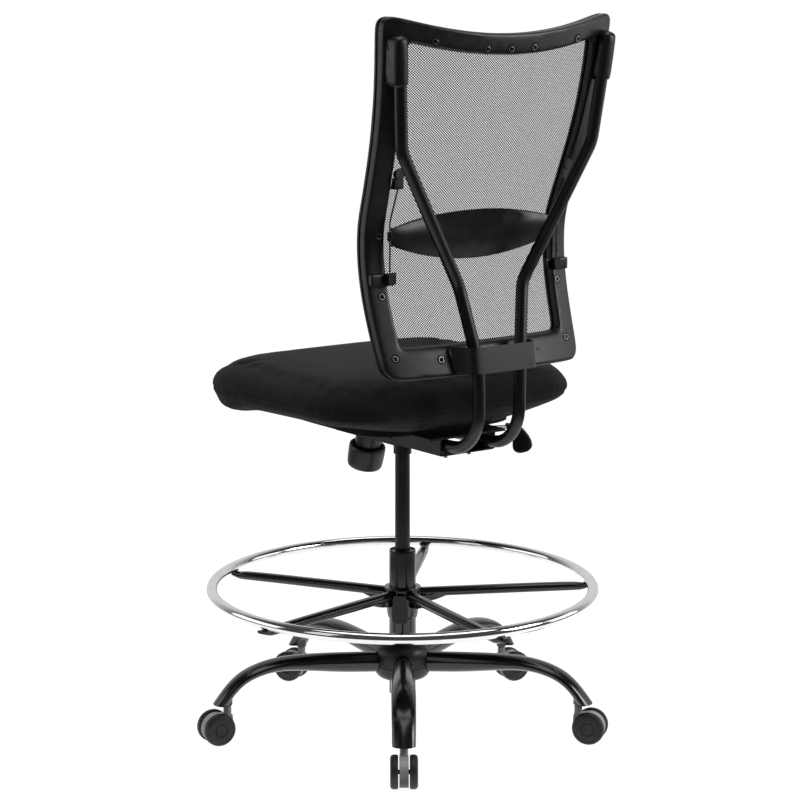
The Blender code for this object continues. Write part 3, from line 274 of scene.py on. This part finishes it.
FINISHES = {
    "gloss_black_paint": paint("gloss_black_paint_look", (0.0030, 0.0030, 0.0032),
                               (0.026, 0.026, 0.027), (0.16, 0.26), 700, 0.00006, 0.35),
    "satin_black_paint": paint("satin_black_paint_look", (0.0040, 0.0040, 0.0042),
                               (0.028, 0.028, 0.029), (0.30, 0.40), 1300, 0.00010),
    "black_plastic": moulded("black_plastic_look", (0.0050, 0.0050, 0.0052),
                             (0.0090, 0.0090, 0.0092), (0.32, 0.42), 1500, 0.00010),
    "grey_plastic": moulded("grey_plastic_look", (0.40, 0.405, 0.41),
                            (0.50, 0.505, 0.51), (0.30, 0.40), 1500, 0.00006),
    "wheel_plastic": moulded("wheel_plastic_look", (0.0060, 0.0060, 0.0065),
                             (0.0120, 0.0120, 0.0125), (0.45, 0.60), 1100, 0.00012),
    "chrome": plated("chrome_look", (0.83, 0.835, 0.85), (0.70, 0.70, 0.71), (0.05, 0.13), 500),
    "steel": plated("steel_look", (0.42, 0.42, 0.43), (0.26, 0.26, 0.27), (0.26, 0.42), 900),
    "seat_fabric": woven_fabric("seat_fabric_look"),
    "mesh_fabric": open_weave("mesh_fabric_look"),
    "plywood": dust_cover("dust_cover_look"),
}
# Painted shade: the dark cloth look, laid on the discs and insets that stand for the shadow in each
# screw recess and slot of the frame
SHADE = dust_cover("screw_recess_look")


# Helpers

def piece(name, mesh, slot, body, smooth=40, look=None):
    """A new object that rides on a body and takes its slot's finish, or another look."""
    obj = bpy.data.objects.new(name, mesh)
    bpy.context.scene.collection.objects.link(obj)
    if smooth:
        mesh.shade_smooth()
        mesh.set_sharp_from_angle(angle=math.radians(smooth))
    mesh.materials.clear()
    mesh.materials.append(look or FINISHES[slot])
    bpy.context.view_layer.update()
    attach(obj, body)
    return obj


def mesh_of(bm, name):
    bmesh.ops.recalc_face_normals(bm, faces=bm.faces)
    mesh = bpy.data.meshes.new(name)
    bm.to_mesh(mesh)
    bm.free()
    return mesh


def turn_profile(bm, profile, steps, matrix, closed=False):
    """Turns (radius, height) points about Z and places the result."""
    rings = []
    for radius, height in profile:
        if radius < 1e-6:
            rings.append([bm.verts.new(matrix @ Vector((0, 0, height)))])
            continue
        rings.append([bm.verts.new(matrix @ Vector((radius * math.cos(2 * math.pi * k / steps),
                                                    radius * math.sin(2 * math.pi * k / steps),
                                                    height))) for k in range(steps)])
    pairs = list(zip(rings, rings[1:]))
    if closed:
        pairs.append((rings[-1], rings[0]))
    for a, b in pairs:
        for k in range(steps):
            ring = [a[k % len(a)], a[(k + 1) % len(a)], b[(k + 1) % len(b)], b[k % len(b)]]
            face = list(dict.fromkeys(ring))
            if len(face) > 2:
                bm.faces.new(face)


def surface_of(node):
    mesh = NODES[node].data
    return BVHTree.FromPolygons([v.co for v in mesh.vertices], [p.vertices for p in mesh.polygons])


def centre_of(node):
    low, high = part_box(node)
    return (Vector(low) + Vector(high)) / 2


def facing(place, normal):
    """A matrix whose Z points along the normal."""
    turn = Vector(normal).to_track_quat("Z", "Y").to_matrix().to_4x4()
    return Matrix.Translation(place) @ turn


# Carried-over CAD nodes

def dress_cad_nodes():
    for node in NODES.values():
        slot = node.data.materials[0].name.split(".")[0]
        node.data.materials[0] = FINISHES[slot]


def refine(node):
    """A smooth, finer skin over a CAD node, with its hard edges kept."""
    source = NODES[node]
    bm = bmesh.new()
    bm.from_mesh(source.data)
    bm.transform(source.matrix_world)
    bmesh.ops.remove_doubles(bm, verts=bm.verts, dist=0.00001)
    bmesh.ops.join_triangles(bm, faces=bm.faces, angle_face_threshold=math.radians(20),
                             angle_shape_threshold=math.radians(50))
    crease = bm.edges.layers.float.get("crease_edge") or bm.edges.layers.float.new("crease_edge")
    for edge in bm.edges:
        hard = len(edge.link_faces) != 2 or edge.calc_face_angle() > math.radians(CREASE_ANGLE)
        edge[crease] = 1.0 if hard else 0.0
    mesh = bpy.data.meshes.new(f"{node}_skin")
    bm.to_mesh(mesh)
    bm.free()
    slot = source.data.materials[0].name.split("_look")[0]
    skin = bpy.data.objects.new(f"{node}_skin", mesh)
    bpy.context.scene.collection.objects.link(skin)
    apply_modifier(skin, "SUBSURF", levels=SKIN_LEVELS, render_levels=SKIN_LEVELS)
    mesh = skin.data
    bpy.data.objects.remove(skin)
    obj = piece(f"{node}_skin", mesh, slot, source["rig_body"])
    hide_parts(node)
    return obj


# Seat

def swell(obj):
    """Inflates the closed cover a little and applies the result."""
    rest = [v.co.copy() for v in obj.data.vertices]
    group = obj.vertex_groups.new(name="pinned")
    for vertex in obj.data.vertices:
        share = min(max((CUSHION_PINNED + PIN_FADE - vertex.co.z) / PIN_FADE, 0), 1)
        group.add([vertex.index], share, "REPLACE")
    cloth = obj.modifiers.new("cloth", "CLOTH")
    settings = cloth.settings
    settings.quality = 6
    settings.mass = 0.3
    settings.tension_stiffness = settings.compression_stiffness = 18
    settings.bending_stiffness = 4
    settings.use_pressure = True
    settings.uniform_pressure_force = 4
    settings.vertex_group_mass = "pinned"
    settings.effector_weights.gravity = 0
    cloth.collision_settings.use_collision = False
    scene = bpy.context.scene
    for number in range(1, 21):
        scene.frame_set(number)
    graph = bpy.context.evaluated_depsgraph_get()
    puffed = [v.co.copy() for v in obj.evaluated_get(graph).data.vertices]
    obj.modifiers.clear()
    obj.vertex_groups.clear()
    scene.frame_set(1)
    for vertex, before, after in zip(obj.data.vertices, rest, puffed):
        move = after - before
        if move.length > CUSHION_SWELL:
            move *= CUSHION_SWELL / move.length
        vertex.co = before + move


def apply_modifier(obj, kind, **settings):
    modifier = obj.modifiers.new(kind.lower(), kind)
    for key, value in settings.items():
        setattr(modifier, key, value)
    graph = bpy.context.evaluated_depsgraph_get()
    mesh = bpy.data.meshes.new_from_object(obj.evaluated_get(graph))
    obj.modifiers.clear()
    obj.data = mesh


def make_cushion():
    source = NODES["seat_cushion"]
    mesh = source.data.copy()
    mesh.name = "seat_upholstery"
    low, high = (Vector(corner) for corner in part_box("seat_cushion"))
    obj = bpy.data.objects.new("seat_upholstery", mesh)
    bpy.context.scene.collection.objects.link(obj)
    bm = bmesh.new()
    bm.from_mesh(mesh)
    bmesh.ops.remove_doubles(bm, verts=bm.verts, dist=0.00001)
    bm.to_mesh(mesh)
    bm.free()
    apply_modifier(obj, "REMESH", mode="VOXEL", voxel_size=CUSHION_VOXEL)
    bm = bmesh.new()
    bm.from_mesh(obj.data)
    movable = [v for v in bm.verts if v.co.z > CUSHION_FREE]
    for _ in range(8):
        bmesh.ops.smooth_vert(bm, verts=movable, factor=0.5, use_axis_x=True, use_axis_y=True,
                              use_axis_z=True)
    bm.to_mesh(obj.data)
    bm.free()
    swell(obj)
    fill_out(obj, source)
    apply_modifier(obj, "SUBSURF", levels=1, render_levels=1)
    press_seam(obj, low, high)
    bpy.context.view_layer.update()
    obj.data.shade_smooth()
    obj.data.materials.clear()
    obj.data.materials.append(FINISHES["seat_fabric"])
    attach(obj, "seat_frame")
    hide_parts("seat_cushion")
    sew_stitches(obj, low, high)


def fill_out(obj, source):
    """Pushes the cover back out to the padding's size and keeps its small unevenness."""
    bm = bmesh.new()
    bm.from_mesh(source.data)
    bmesh.ops.remove_doubles(bm, verts=bm.verts, dist=0.00001)
    tree = BVHTree.FromBMesh(bm)
    bm.free()
    for vertex in obj.data.vertices:
        place, normal, _, _ = tree.find_nearest(vertex.co)
        depth = (place - vertex.co).dot(normal)
        if depth > 0:
            vertex.co += (place - vertex.co) * CUSHION_FILL
    bm = bmesh.new()
    bm.from_mesh(obj.data)
    bmesh.ops.smooth_vert(bm, verts=bm.verts, factor=0.3, use_axis_x=True, use_axis_y=True,
                          use_axis_z=True)
    bm.to_mesh(obj.data)
    bm.free()


def press_seam(obj, low, high):
    """Presses the border seam into the cushion's side."""
    level = high.z - SEAM_DROP
    for vertex in obj.data.vertices:
        away = abs(vertex.co.z - level)
        if away < SEAM_WIDTH:
            centre = Vector(((low.x + high.x) / 2, (low.y + high.y) / 2, vertex.co.z))
            inward = (centre - vertex.co).normalized()
            vertex.co += inward * SEAM_DEPTH * (1 - away / SEAM_WIDTH) ** 2


def side_path(tree, centre, level):
    """Points round the side of the cushion at one height, each with its outward normal."""
    path = []
    for k in range(721):
        turn = math.radians(k / 2)
        out = Vector((math.cos(turn), math.sin(turn), 0))
        place, normal, _, _ = tree.ray_cast(Vector((centre.x, centre.y, level)) + out * 0.6, -out)
        path.append((place, normal))
    return path


def sew_stitches(obj, low, high):
    """Two rows of top stitching, one on each side of the border seam."""
    tree = BVHTree.FromPolygons([v.co for v in obj.data.vertices],
                                [p.vertices for p in obj.data.polygons])
    bm = bmesh.new()
    for row in (STITCH_ROW, -STITCH_ROW):
        level = high.z - SEAM_DROP + row
        path = side_path(tree, (low + high) / 2, level)
        walked, due = 0.0, 0.0
        for (start, normal), (end, _) in zip(path, path[1:]):
            step = (end - start).length
            while due < walked + step:
                along = (end - start).normalized()
                lay_stitch(bm, start + along * (due - walked), along, normal)
                due += STITCH_PITCH
            walked += step
    piece("seat_stitches", mesh_of(bm, "seat_stitches"), "seat_fabric", "seat_frame")


def lay_stitch(bm, place, along, normal):
    """One thread lying on the surface, its ends dipping under it."""
    side = along.cross(normal).normalized()
    rings = []
    for share, lift, radius in STITCH_SHAPE:
        middle = place + along * share * STITCH_LENGTH + normal * lift
        rings.append([bm.verts.new(middle + side * radius * math.cos(math.pi * k / 3)
                                   + normal * radius * math.sin(math.pi * k / 3))
                      for k in range(6)])
    for first, second in zip(rings, rings[1:]):
        for k in range(6):
            bm.faces.new([first[k], first[(k + 1) % 6], second[(k + 1) % 6], second[k]])
    bm.faces.new(rings[0])
    bm.faces.new(rings[-1])


# Back

def make_woven_back():
    low, high = (Vector(corner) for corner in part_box("back_mesh"))
    tree = surface_of("back_mesh")
    columns, rows = WEAVE_COLUMNS, WEAVE_ROWS
    grid = []
    for j in range(rows + 1):
        z = low.z + WEAVE_RIM + (high.z - low.z - 2 * WEAVE_RIM) * j / rows
        line = []
        for i in range(columns + 1):
            x = low.x + (high.x - low.x) * i / columns
            hit = tree.ray_cast(Vector((x, high.y + 0.1, z)), Vector((0, -1, 0)))[0]
            line.append(None if hit is None else hit + Vector((0, -0.0004, 0)))
        grid.append(line)
    bm = bmesh.new()
    uv = bm.loops.layers.uv.new("cloth")
    verts, place = {}, {}
    up = 0.0
    middle = columns // 2
    for j, line in enumerate(grid):
        if j and line[middle] and grid[j - 1][middle]:
            up += (line[middle] - grid[j - 1][middle]).length
        for i, point in enumerate(line):
            if point is None:
                continue
            verts[i, j] = bm.verts.new(point)
            place[i, j] = (point.x * 1.02, up)
    for j in range(rows):
        for i in range(columns):
            keys = [(i, j), (i + 1, j), (i + 1, j + 1), (i, j + 1)]
            if not all(key in verts for key in keys):
                continue
            face = bm.faces.new([verts[key] for key in keys])
            for loop, key in zip(face.loops, keys):
                loop[uv].uv = place[key]
    for face in bm.faces:
        face.smooth = True
    mesh = bpy.data.meshes.new("back_weave")
    bm.to_mesh(mesh)
    bm.free()
    obj = piece("back_weave", mesh, "mesh_fabric", "seat_frame", smooth=0)
    mesh.shade_smooth()
    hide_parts("back_mesh")


# radius and height of a screw head with an open socket, its bright rim, and a dark disc of painted
# shade where its recess would lie in shadow
SCREW_PROFILE = ((0.0019, 0.0002), (0.0019, 0.0012), (0.0024, 0.0017), (0.0036, 0.0015),
                 (0.0044, 0.0009), (0.0045, 0.0001))
WASHER_PROFILE = ((0.0046, 0.0001), (0.0046, 0.0007), (0.0053, 0.0007), (0.0053, 0.0001))
RECESS_SHADE_PROFILE = ((0.0000, 0.0003), (0.0070, 0.0003), (0.0078, 0.0006), (0.0082, -0.0005))
# x and height of the screws that clamp the two halves of the frame
FRAME_SCREWS = ((0.1964, 0.948), (-0.1960, 0.948), (0.1953, 0.846), (-0.1916, 0.8468),
                (0.1907, 0.743), (-0.1874, 0.746), (0.1040, 0.735), (0.1530, 1.2755),
                (-0.1530, 1.2755), (0.0530, 1.2624), (0.0030, 1.2614), (-0.0480, 1.2637))
# x and height of each small slot in the moulding, drawn as a dark inset of painted shade, and the
# tilt of each in degrees
FRAME_SLOTS = ((0.2031, 0.8952, 85), (-0.1985, 0.8977, 95), (-0.1100, 0.7337, 0))


def on_rear_face(tree, x, z):
    place, normal, _, _ = tree.ray_cast(Vector((x, 0.6, z)), Vector((0, -1, 0)))
    return place, normal


def make_frame_screws():
    tree = surface_of("back_frame_rear")
    recess_shades, heads, washers = bmesh.new(), bmesh.new(), bmesh.new()
    for x, z in FRAME_SCREWS:
        matrix = facing(*on_rear_face(tree, x, z))
        turn_profile(recess_shades, RECESS_SHADE_PROFILE, 32, matrix)
        turn_profile(heads, SCREW_PROFILE, 24, matrix)
        turn_profile(washers, WASHER_PROFILE, 24, matrix)
    # painted shade: a dark disc round each head stands for the shadow in its recess
    piece("frame_screw_recess_shades", mesh_of(recess_shades, "frame_screw_recess_shades"), "black_plastic",
          "seat_frame", look=SHADE)
    piece("frame_screw_heads", mesh_of(heads, "frame_screw_heads"), "gloss_black_paint",
          "seat_frame")
    piece("frame_screw_washers", mesh_of(washers, "frame_screw_washers"), "steel", "seat_frame")
    slot_shades = bmesh.new()
    for x, z, tilt in FRAME_SLOTS:
        matrix = facing(*on_rear_face(tree, x, z)) @ Matrix.Rotation(math.radians(tilt), 4, "Z")
        outline = [Vector((math.copysign(0.0022, math.cos(turn)) + 0.0013 * math.cos(turn),
                           0.0013 * math.sin(turn), 0))
                   for turn in (2 * math.pi * (k + 0.5) / 16 for k in range(16))]
        ends = [[slot_shades.verts.new(matrix @ (point + Vector((0, 0, height)))) for point in outline]
                for height in (-0.0006, 0.0003)]
        for k in range(16):
            slot_shades.faces.new([ends[0][k], ends[0][(k + 1) % 16], ends[1][(k + 1) % 16],
                             ends[1][k]])
        slot_shades.faces.new(ends[1])
        slot_shades.faces.new(ends[0])
    # painted shade: dark insets stand for the shadow inside each slot
    piece("frame_slot_shades", mesh_of(slot_shades, "frame_slot_shades"), "black_plastic", "seat_frame",
          look=SHADE)


# Casters and ring

def make_wheels(number):
    """A twin wheel with a rolled tread, a moulded face and a pressed hub cap."""
    node = f"caster_wheels_{number}"
    centre = centre_of(node)
    axle = wheel_axle(node, centre)
    half = wheel_half_width(node, centre, axle)
    inner = half - 0.0145
    face = [(0.0, half - 0.0006), (0.0105, half - 0.0006), (0.0112, half - 0.0016),
            (0.0122, half - 0.0016), (0.0130, half - 0.0004), (0.0215, half - 0.0003),
            (0.0238, half - 0.0009), (0.0248, half - 0.0003), (0.0272, half - 0.0012),
            (0.0288, half - 0.0026), (WHEEL_RADIUS - 0.0004, half - 0.0048),
            (WHEEL_RADIUS - 0.0001, half - 0.0068), (WHEEL_RADIUS - 0.0001, inner + 0.0030),
            (WHEEL_RADIUS - 0.0009, inner + 0.0010), (WHEEL_RADIUS - 0.0022, inner + 0.0001),
            (0.0040, inner + 0.0001)]
    profile = face + [(radius, -height) for radius, height in reversed(face)]
    bm = bmesh.new()
    turn_profile(bm, profile, 64, facing(centre, axle))
    obj = piece(f"wheels_{number}_tyres", mesh_of(bm, node + "_tyres"), "wheel_plastic",
                f"wheels_{number}")
    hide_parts(node)


def wheel_axle(node, centre):
    """The level direction in which the wheel pair's faces point."""
    best, axle = 0.0, Vector((1, 0, 0))
    areas = {}
    for polygon in NODES[node].data.polygons:
        if abs(polygon.normal.z) > 0.05:
            continue
        key = round(math.degrees(math.atan2(polygon.normal.y, polygon.normal.x)) * 2) % 360
        areas[key] = areas.get(key, 0.0) + polygon.area
        if areas[key] > best:
            best, axle = areas[key], Vector((polygon.normal.x, polygon.normal.y, 0)).normalized()
    return axle


def wheel_half_width(node, centre, axle):
    return max((v.co - centre).dot(axle) for v in NODES[node].data.vertices)


def make_hoop():
    low, high = (Vector(corner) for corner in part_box("foot_ring_hoop"))
    centre = (low + high) / 2
    tube = (high.z - low.z) / 2
    radius = (high.x - low.x) / 2 - tube
    bm = bmesh.new()
    profile = [(radius + tube * math.cos(2 * math.pi * k / 24),
                tube * math.sin(2 * math.pi * k / 24)) for k in range(24)]
    turn_profile(bm, profile, 160, Matrix.Translation(centre), closed=True)
    obj = piece("foot_ring_tube", mesh_of(bm, "foot_ring_tube"), "chrome", "foot_ring", smooth=80)
    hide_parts("foot_ring_hoop")


# Studio

def floor_disc(name, radius, height, material):
    bm = bmesh.new()
    bmesh.ops.create_circle(bm, cap_ends=True, segments=96, radius=radius)
    mesh = bpy.data.meshes.new(name)
    bm.to_mesh(mesh)
    bm.free()
    mesh.materials.append(material)
    disc = bpy.data.objects.new(name, mesh)
    bpy.context.scene.collection.objects.link(disc)
    disc.location.z = height
    disc.visible_diffuse = False
    return disc


def make_stage():
    """A pale floor. Only the part under the chair shows in what the chair reflects."""
    material = bpy.data.materials.new("studio_floor")
    material.use_nodes = True
    shader = material.node_tree.nodes["Principled BSDF"]
    shader.inputs["Base Color"].default_value = FLOOR_COLOUR
    shader.inputs["Roughness"].default_value = 0.9
    shader.inputs["Specular IOR Level"].default_value = 0.0
    shader.inputs["Emission Color"].default_value = WHITE
    shader.inputs["Emission Strength"].default_value = FLOOR_GLOW
    floor_disc("floor", NEAR_FLOOR, 0.0, material)
    floor_disc("far_floor", FAR_FLOOR, -0.0005, material).visible_glossy = False


def make_world():
    """White to the camera. The chair is lit by it from the far side only."""
    world = bpy.data.worlds.new("studio")
    world.use_nodes = True
    nodes, links = world.node_tree.nodes, world.node_tree.links
    seen = nodes["Background"]
    seen.inputs["Color"].default_value = WHITE
    seen.inputs["Strength"].default_value = 1.0
    cast = nodes.new("ShaderNodeBackground")
    cast.inputs["Color"].default_value = WHITE
    away = Vector(CAMERA_PLACE) * Vector((-1, -1, 0))
    spread = nodes.new("ShaderNodeVectorMath")
    spread.operation = "DOT_PRODUCT"
    spread.inputs[1].default_value = away.normalized()
    links.new(nodes.new("ShaderNodeTexCoord").outputs["Generated"], spread.inputs[0])
    fade = nodes.new("ShaderNodeMapRange")
    for key, value in {"From Min": 0.35, "From Max": 0.80, "To Min": ROOM_LIGHT,
                       "To Max": BACKDROP_LIGHT}.items():
        fade.inputs[key].default_value = value
    links.new(spread.outputs["Value"], fade.inputs["Value"])
    links.new(fade.outputs[0], cast.inputs["Strength"])
    mix = nodes.new("ShaderNodeMixShader")
    links.new(nodes.new("ShaderNodeLightPath").outputs["Is Camera Ray"], mix.inputs[0])
    links.new(cast.outputs[0], mix.inputs[1])
    links.new(seen.outputs[0], mix.inputs[2])
    links.new(mix.outputs[0], nodes["World Output"].inputs["Surface"])
    bpy.context.scene.world = world


def make_softbox(name, place, size, power):
    light = bpy.data.lights.new(name, "AREA")
    light.shape = "RECTANGLE"
    light.size, light.size_y = size
    light.energy = power
    obj = bpy.data.objects.new(name, light)
    bpy.context.scene.collection.objects.link(obj)
    obj.location = place
    aim = Vector(LIGHT_AIM) - Vector(place)
    obj.rotation_euler = aim.to_track_quat("-Z", "Y").to_euler()


def make_camera():
    data = bpy.data.cameras.new("camera")
    data.sensor_width = 36
    data.lens = CAMERA_LENS
    data.shift_x = CAMERA_SHIFT
    data.clip_end = 100
    camera = bpy.data.objects.new("camera", data)
    bpy.context.scene.collection.objects.link(camera)
    camera.location = CAMERA_PLACE
    camera.rotation_euler = (math.radians(90 - CAMERA_DIP), 0, math.radians(CAMERA_TURN))
    bpy.context.scene.camera = camera


dress_cad_nodes()
make_camera()
make_cushion()
make_woven_back()
make_frame_screws()
for number in range(1, 6):
    make_wheels(number)
make_hoop()
for name in sorted(NODES):
    if name.startswith(REFINED):
        refine(name)
make_stage()
make_world()
for softbox in SOFTBOXES:
    make_softbox(*softbox)
bpy.context.scene.view_settings.view_transform = "Standard"
